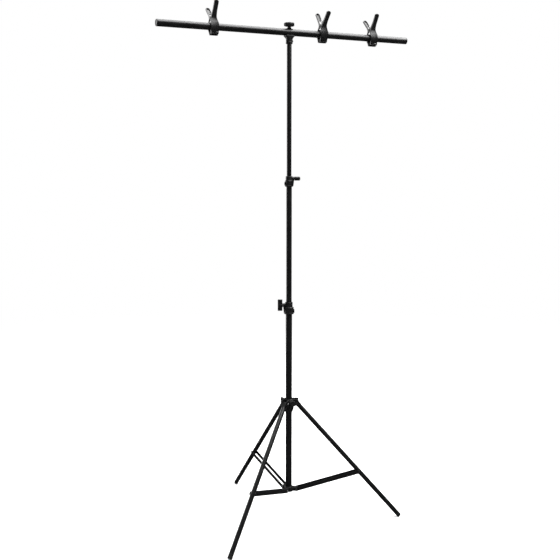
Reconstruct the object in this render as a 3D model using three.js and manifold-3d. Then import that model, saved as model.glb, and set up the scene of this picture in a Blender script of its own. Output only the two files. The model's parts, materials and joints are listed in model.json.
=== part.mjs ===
// T-shaped backdrop stand: a folding tripod, a three-section telescoping column and a
// crossbar that carries three spring clamps. Millimetres, +Z up, X along the crossbar.
import * as THREE from 'three';
import { mergeVertices } from 'three/addons/utils/BufferGeometryUtils.js';
import Module from 'manifold-3d';

const wasm = await Module();
wasm.setup();

// ---- driving dimensions -------------------------------------------------------------

const GAP = 0.3; // between pieces that rest against each other
const TUBE_WALL = 1;
const BOTTOM_TUBE = { radius: 11, from: 100, to: 751 };
const MIDDLE_TUBE = { radius: 9.5, from: 540, to: 1180 };
const TOP_TUBE = { radius: 8, from: 1000, to: 1645 };

const LOWER_COLLAR = {
  azimuth: 154, bottom: 728, shoulder: 751, top: 769, body: 16.5, neck: 12.8, screwZ: 758, ear: 2.5, wing: 16,
};
const UPPER_COLLAR = {
  azimuth: -26, bottom: 1162, shoulder: 1182, top: 1197, body: 13.8, neck: 11.6, screwZ: 1189, ear: 1.8, wing: 18,
};

const LEG_AZIMUTHS = { right: -24.1, front: -144.1, back: 95.9 };
const HINGE_RADIUS = 27; // of the leg hinges and the brace hinges about the column
const LEG_HINGE_Z = 416;
const BRACE_HINGE_Z = 105.5;
const LEG_ANGLE = THREE.MathUtils.degToRad(41.5); // from the vertical
const LEG_RADIUS = 8;
const LEG_END = 551; // hinge to the end of the foot, along the leg
const BRACE_POINT = 331.5; // hinge to the brace rivet, along the leg
const LEG_KNOB_AZIMUTH = LEG_AZIMUTHS.front + 50;
const BRACE = { width: 13.5, thickness: 1.6, inner: 8.5 };
const RIVET_RADIUS = 2.5;
const RIVET_HOLE = 2.7;

const BAR_Z = 1668;
const BAR_RADIUS = 11;
const BAR_HALF = 456;
const BAR_WALL = 1.2;
const CAP_RIM = 3;
const STUD_RADIUS = 4;

const CLAMPS = {
  left: { along: -267, tilt: -9.2 },
  middle: { along: 124, tilt: 2.9 },
  right: { along: 317.4, tilt: -7.7 },
};
const CLAMP_PIVOT_Z = 28; // above the crossbar's axis
const CLAMP_HALF_WIDTHS = { handle: 7.2, waist: 8.9, jaw: 13.8, tip: 12.4 };
const HANDLE = { root: { y: 11.4, z: 29.2 }, tip: { y: 43, z: 68.2 } }; // outer line of a clamp's handle
const CHEEKS = { front: [5, 6.8], back: [7.1, 8.9] }; // inner and outer face, either side of the middle
const JAW_FACE = 4.4; // of the jaw's end, from the clamp's middle plane
const PAD_PIVOT = { y: 5.6, z: -21.5 };

const SCREW_RADIUS = 3; // of the lock knobs
const SCREW_HOLE = 3.3;
const WING = { halfLength: 19.5, halfWidth: 5, corner: 4.6 }; // of a wing knob
const BOSS_REACH = 4; // of a screw boss, beyond its collar

const ROUND = 20; // segments round a tube
const SMALL_ROUND = 10; // segments round a pin or a hole

// ---- materials ----------------------------------------------------------------------

const paint = new THREE.MeshStandardMaterial({ color: 0x0c0c0d, roughness: 0.32, metalness: 0.25 });
const plastic = new THREE.MeshStandardMaterial({ color: 0x0e0e0f, roughness: 0.5, metalness: 0 });
const clampPlastic = new THREE.MeshStandardMaterial({ color: 0x101011, roughness: 0.4, metalness: 0 });
const rubber = new THREE.MeshStandardMaterial({ color: 0x0b0b0b, roughness: 0.85, metalness: 0 });
const steel = new THREE.MeshStandardMaterial({ color: 0x8d8f92, roughness: 0.3, metalness: 1 });

// ---- solids -------------------------------------------------------------------------

const ALONG_X = new THREE.Matrix4().makeBasis(
  new THREE.Vector3(0, 1, 0),
  new THREE.Vector3(0, 0, 1),
  new THREE.Vector3(1, 0, 0),
);

function solid(geometry) {
  const bare = geometry.clone();
  bare.deleteAttribute('normal');
  bare.deleteAttribute('uv');
  const merged = mergeVertices(bare, 1e-4);
  const triVerts = [];
  for (let i = 0; i < merged.index.count; i += 3) {
    const [a, b, c] = [0, 1, 2].map((k) => merged.index.getX(i + k));
    if (a !== b && b !== c && c !== a) triVerts.push(a, b, c);
  }
  const vertProperties = merged.attributes.position.array;
  return new wasm.Manifold(new wasm.Mesh({ numProp: 3, vertProperties, triVerts: new Uint32Array(triVerts) }));
}

const joined = (first, ...others) => others.reduce((sum, part) => sum.add(solid(part)), solid(first));

const cutFrom = (body, ...tools) => tools.reduce((rest, tool) => rest.subtract(solid(tool)), body);

function geometryOf(manifold) {
  const { vertProperties, triVerts } = manifold.getMesh();
  const geometry = new THREE.BufferGeometry();
  geometry.setAttribute('position', new THREE.BufferAttribute(vertProperties, 3));
  geometry.setIndex(new THREE.BufferAttribute(triVerts, 1));
  geometry.computeVertexNormals();
  return geometry;
}

// A profile of [radius, height] points turned about Z, counter-clockwise, from axis to axis
// or closed on itself.
function turned(profile, segments = ROUND) {
  const points = profile.map(([r, z]) => new THREE.Vector2(r, z));
  return new THREE.LatheGeometry(points, segments).rotateX(Math.PI / 2);
}

function ring(inner, outer, from, to, segments = ROUND) {
  const profile = [[outer, from], [outer, to], [inner, to], [inner, from], [outer, from]];
  return turned(profile, segments);
}

function rod(radius, from, to, segments = SMALL_ROUND) {
  return turned([[0, from], [radius, from], [radius, to], [0, to]], segments);
}

// A rod along Y, centred on y = 0, through the point (x, z).
function crossRod(radius, halfLength, x, z, segments = SMALL_ROUND) {
  return rod(radius, -halfLength, halfLength, segments).rotateX(-Math.PI / 2).translate(x, 0, z);
}

// A rod along X from one radius to another, at height z.
function radialRod(radius, from, to, z, segments = SMALL_ROUND) {
  return rod(radius, from, to, segments).rotateY(Math.PI / 2).translate(0, 0, z);
}

function block(x0, x1, y0, y1, z0, z1) {
  const geometry = new THREE.BoxGeometry(x1 - x0, y1 - y0, z1 - z0);
  return geometry.translate((x0 + x1) / 2, (y0 + y1) / 2, (z0 + z1) / 2);
}

function outline(points) {
  return new THREE.Shape(points.map(([u, v]) => new THREE.Vector2(u, v)));
}

// A shape drawn in the XZ plane and given a thickness from y0 to y1.
function plateXZ(shape, y0, y1, curveSegments = 3) {
  const geometry = new THREE.ExtrudeGeometry(shape, { depth: y1 - y0, bevelEnabled: false, curveSegments });
  return geometry.rotateX(Math.PI / 2).translate(0, y1, 0);
}

// A shape drawn in the YZ plane and given a thickness from x0 to x1.
function plateYZ(shape, x0, x1, options = {}) {
  const settings = { depth: x1 - x0, bevelEnabled: false, curveSegments: 2, ...options };
  return new THREE.ExtrudeGeometry(shape, settings).applyMatrix4(ALONG_X).translate(x0, 0, 0);
}

// Extrude settings for an outline whose rims are chamfered inwards.
function chamfered(size, thickness = size) {
  return { bevelEnabled: true, bevelThickness: thickness, bevelSize: size, bevelOffset: -size, bevelSegments: 1 };
}

function roundedRectangle(halfU, halfV, corner) {
  const shape = new THREE.Shape();
  const [u, v] = [halfU - corner, halfV - corner];
  shape.absarc(u, v, corner, 0, Math.PI / 2);
  shape.absarc(-u, v, corner, Math.PI / 2, Math.PI);
  shape.absarc(-u, -v, corner, Math.PI, Math.PI * 1.5);
  shape.absarc(u, -v, corner, Math.PI * 1.5, Math.PI * 2);
  return shape;
}

// Two round ends of one radius round (0, 0) and (length, 0).
function link(length, radius) {
  const shape = new THREE.Shape();
  shape.absarc(length, 0, radius, -Math.PI / 2, Math.PI / 2);
  shape.absarc(0, 0, radius, Math.PI / 2, Math.PI * 1.5);
  return shape;
}

// ---- the scene graph ----------------------------------------------------------------

const stand = new THREE.Group();

function add(parent, name, shape, material) {
  const geometry = shape.isBufferGeometry ? geometryOf(solid(shape)) : geometryOf(shape);
  const mesh = new THREE.Mesh(geometry, material);
  mesh.name = name;
  parent.add(mesh);
  return mesh;
}

function group(parent, { x = 0, y = 0, z = 0, turnX = 0, turnY = 0, turnZ = 0 }) {
  const made = new THREE.Group();
  made.position.set(x, y, z);
  made.rotation.set(turnX, turnY, turnZ);
  parent.add(made);
  return made;
}

const atAzimuth = (degrees) => group(stand, { turnZ: THREE.MathUtils.degToRad(degrees) });

// ---- column -------------------------------------------------------------------------

function columnTube(name, { radius, from, to }) {
  add(stand, name, ring(radius - TUBE_WALL, radius, from, to), paint);
}

// The bush in a tube's lower end: a ring that fills the tube outside, and a spigot in the bore.
function tubeBush(name, inside, outside) {
  const bore = inside.radius - TUBE_WALL;
  const flange = outside.radius - TUBE_WALL - 0.2;
  const hole = bore - 2;
  const spigot = bore - GAP;
  const low = inside.from - GAP - 4;
  const shoulder = inside.from - GAP;
  const top = inside.from + 14;
  const profile = [
    [hole, low], [flange, low], [flange, shoulder], [spigot, shoulder], [spigot, top], [hole, top], [hole, low],
  ];
  add(stand, name, turned(profile), plastic);
}

// A clamping collar: it holds the outer tube's top end, and its narrower neck, which takes
// the lock screw, guides the inner tube.
function tubeCollar(name, collar, outer, inner) {
  const { bottom, shoulder, top, body, neck, screwZ, ear } = collar;
  const grip = outer.radius + GAP;
  const guide = inner.radius + GAP;
  const step = outer.to + GAP;
  const chamfer = 1.2;
  const casting = turned([
    [grip, bottom], [body - chamfer, bottom], [body, bottom + chamfer], [body, shoulder - chamfer],
    [body - chamfer, shoulder], [neck, shoulder], [neck, top - chamfer], [neck - chamfer, top],
    [guide, top], [guide, step], [grip, step], [grip, bottom],
  ]);
  const bossEnd = body + BOSS_REACH;
  const boss = radialRod(6.5, guide + 1, bossEnd, screwZ, 14);
  const rib = plateXZ(
    outline([[guide + 1, bottom + 3], [body + 1, bottom + 3], [bossEnd - 1, screwZ - 5], [bossEnd - 1, screwZ],
      [guide + 1, screwZ]]),
    -2.5,
    2.5,
  );
  // the pad on the far side, where a pinch bolt draws the casting on to the outer tube
  const boltPad = block(-body - ear, -grip, -5, 5, bottom + 4, bottom + 16);
  const bore = rod(grip, bottom - 1, step, ROUND);
  const guideBore = rod(guide, step - 1, top + 1, ROUND);
  const screwHole = radialRod(SCREW_HOLE, 0, bossEnd + 1, screwZ);
  const slit = block(-body - 6, -grip + 1, -0.8, 0.8, bottom - 1, bottom + 17);
  add(
    atAzimuth(collar.azimuth),
    name,
    cutFrom(joined(casting, boss, rib, boltPad), bore, guideBore, screwHole, slit),
    plastic,
  );
}

// A wing knob moulded on its screw. The screw's axis is X; the wings lie along Z or along Y.
function wingKnob(name, collar, inner, wingsAlongZ) {
  const { halfLength, halfWidth, corner } = WING;
  const bossEnd = collar.body + BOSS_REACH;
  const tip = inner.radius + GAP + 0.1;
  const start = bossEnd + 1.8;
  const rim = 1.5;
  const [halfY, halfZ] = wingsAlongZ ? [halfWidth, halfLength] : [halfLength, halfWidth];
  const shape = roundedRectangle(halfY, halfZ, corner);
  const wings = plateYZ(shape, start + rim, start + collar.wing - rim, { ...chamfered(rim), curveSegments: 3 });
  const screw = radialRod(SCREW_RADIUS, tip, start + 4, 0);
  const hub = radialRod(7, bossEnd + GAP, start + 5, 0, 14);
  const holder = group(atAzimuth(collar.azimuth), { z: collar.screwZ });
  add(holder, name, joined(wings, screw, hub), plastic);
}

// ---- tripod -------------------------------------------------------------------------

const rotated = (geometry, degrees) => geometry.rotateZ(THREE.MathUtils.degToRad(degrees));
const LEG_COLLAR = { body: 17, top: 430.5, shoulder: 401, bottom: 382, skirt: 18.2, skirtEnd: 12.4, screwZ: 420 };
const LEG_COLLAR_BOSS = 23; // radius where the screw's boss ends
const CLEVIS_CHEEK = 4.5;

// The casting that slides on the bottom tube and carries the three leg hinges.
function legCollar() {
  const { body, top, shoulder, bottom, skirt, skirtEnd, screwZ } = LEG_COLLAR;
  const bore = BOTTOM_TUBE.radius + GAP;
  const parts = [
    turned([
      [bore, bottom], [skirtEnd, bottom], [skirt, shoulder - 4], [body, shoulder], [body, top - 1.5],
      [body - 1.5, top], [bore, top], [bore, bottom],
    ]),
  ];
  const side = new THREE.Shape();
  side.moveTo(12, shoulder);
  side.lineTo(HINGE_RADIUS - 1, LEG_HINGE_Z - 8);
  side.absarc(HINGE_RADIUS, LEG_HINGE_Z, 8, -Math.PI / 2, 0);
  side.lineTo(HINGE_RADIUS + 7, top - 3);
  side.lineTo(HINGE_RADIUS + 4, top);
  side.lineTo(12, top);
  const holes = [];
  for (const azimuth of Object.values(LEG_AZIMUTHS)) {
    for (const from of [BRACE.inner, -BRACE.inner - CLEVIS_CHEEK]) {
      parts.push(rotated(plateXZ(side, from, from + CLEVIS_CHEEK), azimuth));
    }
    holes.push(rotated(crossRod(RIVET_HOLE, 20, HINGE_RADIUS, LEG_HINGE_Z), azimuth));
  }
  parts.push(rotated(radialRod(6, bore + 1, LEG_COLLAR_BOSS, screwZ, 14), LEG_KNOB_AZIMUTH));
  holes.push(rotated(radialRod(SCREW_HOLE, 0, LEG_COLLAR_BOSS + 1, screwZ), LEG_KNOB_AZIMUTH));
  holes.push(rod(bore, bottom - 1, top + 1, ROUND));
  add(stand, 'leg_collar', cutFrom(joined(...parts), ...holes), plastic);
}

// A round knob with lobes, drawn in a plane across its axis.
function lobedOutline(radius, depth, lobes, pointsPerLobe = 5) {
  const count = lobes * pointsPerLobe;
  const points = [];
  for (let i = 0; i < count; i += 1) {
    const angle = (i / count) * Math.PI * 2;
    const r = radius - depth + depth * Math.cos(lobes * angle);
    points.push([r * Math.cos(angle), r * Math.sin(angle)]);
  }
  return outline(points);
}

function legCollarKnob() {
  const grip = plateYZ(lobedOutline(10.5, 0.8, 6), 28.5, 37, chamfered(1.5));
  const hub = radialRod(7, LEG_COLLAR_BOSS + GAP, 29, 0, 14);
  const screw = radialRod(SCREW_RADIUS, BOTTOM_TUBE.radius + GAP + 0.1, 26, 0);
  const holder = group(atAzimuth(LEG_KNOB_AZIMUTH), { z: LEG_COLLAR.screwZ });
  add(holder, 'leg_collar_knob', joined(grip, hub, screw), plastic);
}

const BRACE_HUB = { bottom: 97, top: 115, radius: 15.5, bore: 9, lugRadius: 7, lugHalfWidth: 8.1 };

// The hub on the foot of the bottom tube, with one lug for each pair of braces.
function braceHub() {
  const { bottom, top, radius, bore, lugRadius, lugHalfWidth } = BRACE_HUB;
  const grip = BOTTOM_TUBE.radius + GAP;
  const step = BOTTOM_TUBE.from - GAP;
  const rim = radius - 1.5;
  const parts = [turned([
    [bore, bottom], [rim, bottom], [radius, bottom + 1.5], [radius, top - 1.5], [rim, top], [grip, top],
    [grip, step], [bore, step], [bore, bottom],
  ])];
  const holes = [];
  const lugRoot = grip + 2;
  for (const azimuth of Object.values(LEG_AZIMUTHS)) {
    const lug = plateXZ(link(HINGE_RADIUS - lugRoot, lugRadius), -lugHalfWidth, lugHalfWidth);
    parts.push(rotated(lug.translate(lugRoot, 0, BRACE_HINGE_Z), azimuth));
    holes.push(rotated(crossRod(RIVET_HOLE, 12, HINGE_RADIUS, BRACE_HINGE_Z), azimuth));
  }
  holes.push(rod(grip, step, top + 1, ROUND), rod(bore, bottom - 1, top, ROUND));
  add(stand, 'brace_hub', cutFrom(joined(...parts), ...holes), plastic);
}

// A rivet along Y with a low round head on each end.
function rivet(shaft, halfGrip, headRadius = 4.4, headHeight = 1.6) {
  const end = halfGrip + 0.2;
  const profile = [
    [0, -end - headHeight], [headRadius * 0.6, -end - headHeight * 0.85], [headRadius, -end], [shaft, -end],
    [shaft, end], [headRadius, end], [headRadius * 0.6, end + headHeight * 0.85], [0, end + headHeight],
  ];
  return turned(profile, SMALL_ROUND).rotateX(-Math.PI / 2);
}

function leg(side, azimuth) {
  const radial = atAzimuth(azimuth);
  const along = { x: HINGE_RADIUS, z: LEG_HINGE_Z, turnY: Math.PI - LEG_ANGLE };
  const axis = group(radial, along);
  const bore = LEG_RADIUS - TUBE_WALL;
  const tubeFrom = 12.3;
  const tubeTo = LEG_END - 15;
  const inPlug = 40;
  const inFoot = tubeTo - 24;
  const tube = ring(bore, LEG_RADIUS, tubeFrom, tubeTo);
  add(axis, `leg_tube_${side}`, cutFrom(solid(tube), crossRod(RIVET_HOLE, 12, 0, BRACE_POINT)), paint);

  const head = plateXZ(link(tubeFrom - GAP, 7.8), -7.4, 7.4).rotateY(-Math.PI / 2);
  const shank = block(-9, 9, -9, 9, tubeFrom - GAP, tubeFrom + 9);
  const plug = cutFrom(solid(head), shank).add(solid(rod(bore - GAP, 8, inPlug, ROUND)));
  add(axis, `leg_plug_${side}`, cutFrom(plug, crossRod(RIVET_HOLE, 12, 0, 0)), plastic);

  // the foot stands flat on the floor, so it is cut level
  const foot = turned([
    [0, inFoot], [bore - GAP, inFoot], [bore - GAP, tubeTo + GAP], [LEG_RADIUS, tubeTo + GAP],
    [LEG_RADIUS, LEG_END - 1], [LEG_RADIUS - 1, LEG_END], [0, LEG_END],
  ]);
  foot.rotateY(along.turnY).translate(along.x, 0, along.z);
  const reach = HINGE_RADIUS + LEG_END * Math.sin(LEG_ANGLE);
  const floor = block(reach - 60, reach + 60, -20, 20, -40, 0);
  add(radial, `leg_foot_${side}`, cutFrom(solid(foot), floor), rubber);

  const pivot = rivet(RIVET_RADIUS, BRACE.inner + CLEVIS_CHEEK);
  add(group(radial, { x: HINGE_RADIUS, z: LEG_HINGE_Z }), `leg_pivot_${side}`, pivot, steel);
  add(axis, `brace_leg_pin_${side}`, crossRod(RIVET_RADIUS, BRACE.inner - GAP, 0, BRACE_POINT), steel);
}

const RIVET_POINT = {
  x: HINGE_RADIUS + BRACE_POINT * Math.sin(LEG_ANGLE),
  z: LEG_HINGE_Z - BRACE_POINT * Math.cos(LEG_ANGLE),
};
const BRACE_RISE = Math.atan2(RIVET_POINT.z - BRACE_HINGE_Z, RIVET_POINT.x - HINGE_RADIUS);
const BRACE_LENGTH = Math.hypot(RIVET_POINT.z - BRACE_HINGE_Z, RIVET_POINT.x - HINGE_RADIUS);

// Two flat bars straddle the hub's lug and the leg. Each has a rivet head where it meets the leg.
function braces(side, azimuth) {
  const radial = atAzimuth(azimuth);
  const axis = group(radial, { x: HINGE_RADIUS, z: BRACE_HINGE_Z, turnY: -BRACE_RISE });
  const { inner, thickness, width } = BRACE;
  for (const [letter, sign] of [['a', 1], ['b', -1]]) {
    const faces = [sign * inner, sign * (inner + thickness)].sort((p, q) => p - q);
    const bar = plateXZ(link(BRACE_LENGTH, width / 2), ...faces);
    const head = turned([[0, -0.8], [4, -0.8], [4, 0], [2.4, 1.3], [0, 1.5]], SMALL_ROUND);
    head.rotateX(-sign * Math.PI / 2).translate(BRACE_LENGTH, sign * (inner + thickness), 0);
    const hole = crossRod(RIVET_HOLE, 14, 0, 0);
    add(axis, `brace_bar_${side}_${letter}`, cutFrom(joined(bar, head), hole), paint);
  }
  const pin = rivet(RIVET_RADIUS, inner + thickness, 4.2, 1.5);
  add(group(radial, { x: HINGE_RADIUS, z: BRACE_HINGE_Z }), `brace_hub_pin_${side}`, pin, steel);
}

// ---- crossbar and its saddle --------------------------------------------------------

const SADDLE = {
  bottom: 1631.5, flareFrom: 1644, top: BAR_Z - 9.6, halfLength: 17, halfDepth: 11.8, sleeve: 11.5, headPocket: 7,
};
const STUD = { headRadius: 6.4, headTop: 1649, top: 1695 };
const BAR_KNOB = { under: 1687.5, top: 1700, radius: 18, neck: 5.8, lobes: 7 };
const CAP_DEPTH = 18;

function crossbar() {
  const tube = ring(BAR_RADIUS - BAR_WALL, BAR_RADIUS, -BAR_HALF + CAP_RIM, BAR_HALF - CAP_RIM);
  tube.rotateY(Math.PI / 2).translate(0, 0, BAR_Z);
  const studHole = rod(STUD_RADIUS + 0.4, BAR_Z - 15, BAR_Z + 15);
  add(stand, 'crossbar', cutFrom(solid(tube), studHole), paint);

  const bore = BAR_RADIUS - BAR_WALL;
  for (const [side, turn] of [['left', -Math.PI / 2], ['right', Math.PI / 2]]) {
    const cap = turned([
      [0, BAR_HALF - CAP_DEPTH], [bore - GAP, BAR_HALF - CAP_DEPTH], [bore - GAP, BAR_HALF - CAP_RIM + GAP],
      [BAR_RADIUS, BAR_HALF - CAP_RIM + GAP], [BAR_RADIUS, BAR_HALF - 0.8], [BAR_RADIUS - 0.8, BAR_HALF],
      [0, BAR_HALF],
    ]);
    add(group(stand, { z: BAR_Z, turnY: turn }), `crossbar_cap_${side}`, cap, plastic);
  }
}

// The saddle turns on the top tube. Its sleeve widens into a cradle under the crossbar.
function barSaddle() {
  const { bottom, flareFrom, top, halfLength, halfDepth, sleeve, headPocket } = SADDLE;
  const turnGap = TOP_TUBE.radius + GAP;
  const flareTo = flareFrom + 11;
  const bell = turned([
    [0, bottom], [sleeve - 1, bottom], [sleeve, bottom + 1], [sleeve, flareFrom], [sleeve + 1, flareFrom + 5],
    [sleeve + 3, flareFrom + 8.5], [halfLength, flareTo], [halfLength + 4, flareTo], [halfLength + 4, top], [0, top],
  ], 2 * ROUND);
  const trim = solid(block(-halfLength, halfLength, -halfDepth, halfDepth, bottom - 1, top));
  const seat = rod(BAR_RADIUS + GAP, -40, 40, ROUND).rotateY(Math.PI / 2).translate(0, 0, BAR_Z);
  const socket = rod(turnGap, bottom - 1, TOP_TUBE.to + GAP, ROUND);
  const pocket = rod(headPocket, TOP_TUBE.to, STUD.headTop + GAP);
  const studHole = rod(STUD_RADIUS + GAP, TOP_TUBE.to, BAR_Z);
  add(stand, 'bar_saddle', cutFrom(solid(bell).intersect(trim), seat, socket, pocket, studHole), plastic);
}

function saddleStud() {
  const foot = TOP_TUBE.to + 2 * GAP;
  const { headRadius, headTop, top } = STUD;
  const profile = [
    [0, foot], [headRadius, foot], [headRadius, headTop], [STUD_RADIUS, headTop], [STUD_RADIUS, top - 1],
    [STUD_RADIUS - 1, top], [0, top],
  ];
  add(stand, 'saddle_stud', turned(profile, SMALL_ROUND), steel);
}

function barKnob() {
  const { under, top, radius, neck, lobes } = BAR_KNOB;
  const rim = 2.2;
  const settings = { depth: top - under - 2 * rim, ...chamfered(1.8, rim) };
  const grip = new THREE.ExtrudeGeometry(lobedOutline(radius, 1.3, lobes), settings);
  grip.translate(0, 0, under + rim);
  const seatZ = BAR_Z + BAR_RADIUS + GAP;
  const stem = turned([[0, seatZ], [neck + 1.4, seatZ], [neck, seatZ + 4], [neck, under + 2], [0, under + 2]], 14);
  const thread = rod(STUD_RADIUS + GAP, seatZ - 1, STUD.top + 1);
  add(stand, 'bar_knob', cutFrom(joined(grip, stem), thread), plastic);
}

// ---- spring clamps ------------------------------------------------------------------

// One lever seen along the crossbar: a straight handle, a waist beside the pivot and a jaw
// that curves round the crossbar. side is +1 or -1.
function leverSide(side) {
  const at = (y, z) => new THREE.Vector2(side * y, z);
  const { root, tip } = HANDLE;
  const shape = new THREE.Shape();
  shape.moveTo(side * root.y, root.z);
  shape.lineTo(side * tip.y, tip.z);
  shape.quadraticCurveTo(side * (tip.y + 2.4), tip.z + 3, side * (tip.y - 0.4), tip.z + 5);
  shape.quadraticCurveTo(side * (tip.y - 2.6), tip.z + 6.5, side * (tip.y - 4.4), tip.z + 4.2);
  shape.lineTo(side * 8.2, 33.8);
  shape.splineThru([at(8.2, 27), at(9.4, 18), at(12.2, 9), at(12.9, 0), at(11.4, -8.5), at(7.4, -15.5)]);
  shape.lineTo(side * JAW_FACE, -17.5);
  shape.lineTo(side * JAW_FACE, -25);
  shape.lineTo(side * 7.4, -25);
  shape.splineThru([at(9.8, -18), at(14.3, -9), at(16, 0), at(15.2, 10), at(12.4, 21), at(root.y, root.z)]);
  return shape;
}

// The lever seen from the front: the jaw is wider than the handle.
function leverFront() {
  const { handle, waist, jaw, tip } = CLAMP_HALF_WIDTHS;
  const half = [[handle - 4, 74.7], [handle - 1.2, 73], [handle, 70], [handle, 42], [waist, 28], [jaw, 9], [jaw, -6],
    [tip, -25]];
  const mirrored = half.map(([x, z]) => [-x, z]).reverse();
  return outline([...half, ...mirrored]);
}

// Two cheeks of a lever reach to the pivot pin. The back lever's lie outside the front lever's.
function cheeks(side) {
  const [from, to] = CHEEKS[side > 0 ? 'back' : 'front'];
  const radius = 6.3;
  const reach = 9.5;
  const shape = new THREE.Shape();
  shape.moveTo(0, CLAMP_PIVOT_Z - radius);
  shape.lineTo(side * reach, CLAMP_PIVOT_Z - 9);
  shape.lineTo(side * reach, CLAMP_PIVOT_Z + 5);
  shape.lineTo(0, CLAMP_PIVOT_Z + radius);
  shape.absarc(0, CLAMP_PIVOT_Z, radius, Math.PI / 2, side > 0 ? Math.PI * 1.5 : -Math.PI / 2, side < 0);
  return [plateYZ(shape, from, to), plateYZ(shape, -to, -from)];
}

// The handle is a channel, open towards the other handle. The back lever has a window at the
// handle's root and one beside the pivot.
function lever(side) {
  const { handle, jaw } = CLAMP_HALF_WIDTHS;
  const { root, tip } = HANDLE;
  const lean = side * Math.atan2(tip.y - root.y, tip.z - root.z);
  const wall = 2.2;
  const channel = block(-handle + wall, handle - wall, -3.8, 0, -17, 16);
  if (side < 0) channel.rotateZ(Math.PI);
  channel.rotateX(-lean).translate(0, side * 24.8, 52.5);
  const padSlot = block(-2.9, 2.9, side * 8 - 8, side * 8 + 8, -30, -16);
  const padPin = radialRod(1.2, -4, 4, PAD_PIVOT.z).translate(0, side * PAD_PIVOT.y, 0);
  const cuts = [channel, padSlot];
  if (side > 0) {
    const open = CHEEKS.back[0] - 0.2;
    cuts.push(block(-4.4, 4.4, -6, 6, -7, 7).rotateX(-lean).translate(0, 17.8, 39));
    cuts.push(block(-open, open, 3, 19, 17.5, 26.5));
  }
  const body = solid(plateYZ(leverSide(side), -jaw, jaw)).intersect(solid(plateXZ(leverFront(), -60, 60)));
  const whole = [...cheeks(side), padPin].reduce((sum, part) => sum.add(solid(part)), cutFrom(body, ...cuts));
  return cutFrom(whole, radialRod(2.3, -12, 12, CLAMP_PIVOT_Z));
}

// A pad that swivels on the jaw's end, with a lip along its lower edge.
function jawPad(side) {
  const half = 12.6;
  const face = 0.8;
  const back = 2.8;
  const plate = block(-half, half, face, back, -26, -17);
  const lip = block(-half, half, face, back + 1.8, -27, -25.8);
  const lug = plateYZ(link(PAD_PIVOT.y - face - 1, 2.5), -2.4, 2.4).translate(0, face + 1, PAD_PIVOT.z);
  const beyond = block(-3, 3, -4, face, -26, -17);
  const hole = radialRod(1.45, -4, 4, PAD_PIVOT.z).translate(0, PAD_PIVOT.y, 0);
  const pad = geometryOf(cutFrom(joined(plate, lip, lug), beyond, hole));
  if (side < 0) pad.rotateZ(Math.PI);
  return pad;
}

// A coil of wire round the pin with one short tail on each end.
function torsionSpring() {
  const turns = 3;
  const stepsPerTurn = 8;
  const coilRadius = 3.7;
  const pitch = 2.6;
  const points = [new THREE.Vector3(-turns * pitch / 2, coilRadius, -3.4)];
  for (let i = 0; i <= turns * stepsPerTurn; i += 1) {
    const angle = (i / stepsPerTurn) * Math.PI * 2;
    const x = (i / stepsPerTurn - turns / 2) * pitch;
    points.push(new THREE.Vector3(x, coilRadius * Math.cos(angle), coilRadius * Math.sin(angle)));
  }
  points.push(new THREE.Vector3(turns * pitch / 2, coilRadius, 3.4));
  const wire = new THREE.Shape().absarc(0, 0, 0.8, 0, Math.PI * 2);
  const extrudePath = new THREE.CatmullRomCurve3(points);
  return new THREE.ExtrudeGeometry(wire, { steps: points.length, curveSegments: 3, extrudePath });
}

function springClamp(name, { along, tilt }) {
  const clamp = group(stand, { x: along, z: BAR_Z, turnX: THREE.MathUtils.degToRad(tilt) });
  add(clamp, `clamp_${name}_front_lever`, lever(-1), clampPlastic);
  add(clamp, `clamp_${name}_back_lever`, lever(1), clampPlastic);
  add(clamp, `clamp_${name}_front_pad`, jawPad(-1), rubber);
  add(clamp, `clamp_${name}_back_pad`, jawPad(1), rubber);
  const atPivot = group(clamp, { z: CLAMP_PIVOT_Z });
  const pin = rivet(2, CHEEKS.back[1] + GAP, 3.6, 1.2).rotateZ(Math.PI / 2);
  add(atPivot, `clamp_${name}_pin`, pin, steel);
  add(atPivot, `clamp_${name}_spring`, torsionSpring(), steel);
}

// ---- assembly -----------------------------------------------------------------------

columnTube('bottom_tube', BOTTOM_TUBE);
columnTube('middle_tube', MIDDLE_TUBE);
columnTube('top_tube', TOP_TUBE);
tubeBush('middle_tube_bush', MIDDLE_TUBE, BOTTOM_TUBE);
tubeBush('top_tube_bush', TOP_TUBE, MIDDLE_TUBE);
tubeCollar('lower_collar', LOWER_COLLAR, BOTTOM_TUBE, MIDDLE_TUBE);
tubeCollar('upper_collar', UPPER_COLLAR, MIDDLE_TUBE, TOP_TUBE);
wingKnob('lower_collar_knob', LOWER_COLLAR, MIDDLE_TUBE, true);
wingKnob('upper_collar_knob', UPPER_COLLAR, TOP_TUBE, false);
legCollar();
legCollarKnob();
braceHub();
for (const [side, azimuth] of Object.entries(LEG_AZIMUTHS)) {
  leg(side, azimuth);
  braces(side, azimuth);
}
crossbar();
barSaddle();
saddleStud();
barKnob();
for (const [name, place] of Object.entries(CLAMPS)) springClamp(name, place);

// The origin is on the floor, under the middle of the object's box.
const box = new THREE.Box3().setFromObject(stand, true);
const centre = box.getCenter(new THREE.Vector3());
stand.position.set(-centre.x, -centre.y, 0);

export default stand;
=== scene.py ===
import json
import math

import bmesh
import bpy
from mathutils import Matrix, Vector


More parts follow.
